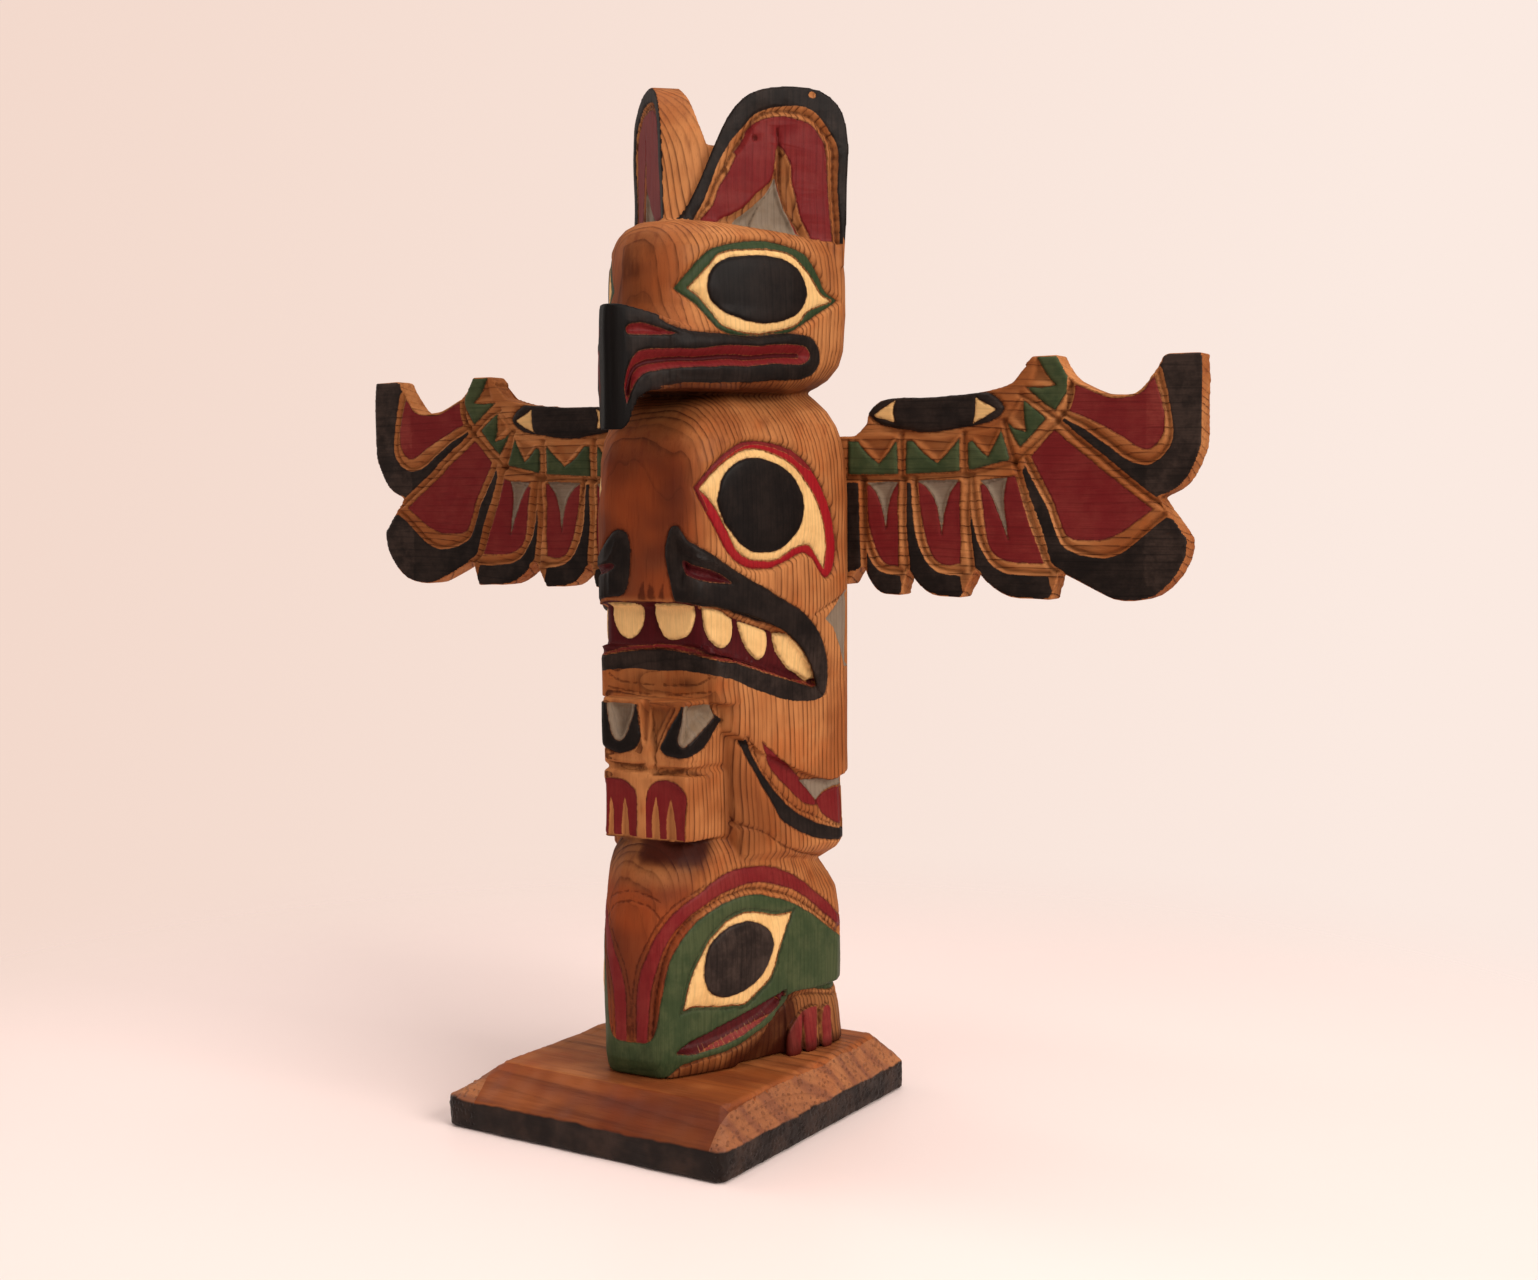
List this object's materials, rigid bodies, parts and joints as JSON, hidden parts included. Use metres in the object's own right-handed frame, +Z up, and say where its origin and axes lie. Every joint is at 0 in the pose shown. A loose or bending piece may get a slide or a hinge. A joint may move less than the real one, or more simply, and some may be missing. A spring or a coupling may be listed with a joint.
{
  "type": "carved totem pole ornament",
  "caption": "Carved and painted wooden totem pole of stacked heads with spread feathered wings and upright ears, standing on a bevelled base board.",
  "frame": {"origin": "middle of the object's bounding box at the underside of the base board, on the surface it stands on", "axes": "+Z up the pole; the carved faces look along -Y; the wings spread along X, with +X on the right of a viewer who faces the carving"},
  "size_m": [0.3012, 0.1118, 0.3154],
  "materials": {
    "carved_wood": "satin varnished cedar, carved and painted black, red, green and cream",
    "wing_wood": "satin varnished cedar board, carved and painted black, red and green",
    "base_wood": "satin varnished board with black painted edges"
  },
  "bodies": {
    "root": {"base": "base_wood", "pole": "carved_wood", "wings": "wing_wood"}
  },
  "joints": []
}
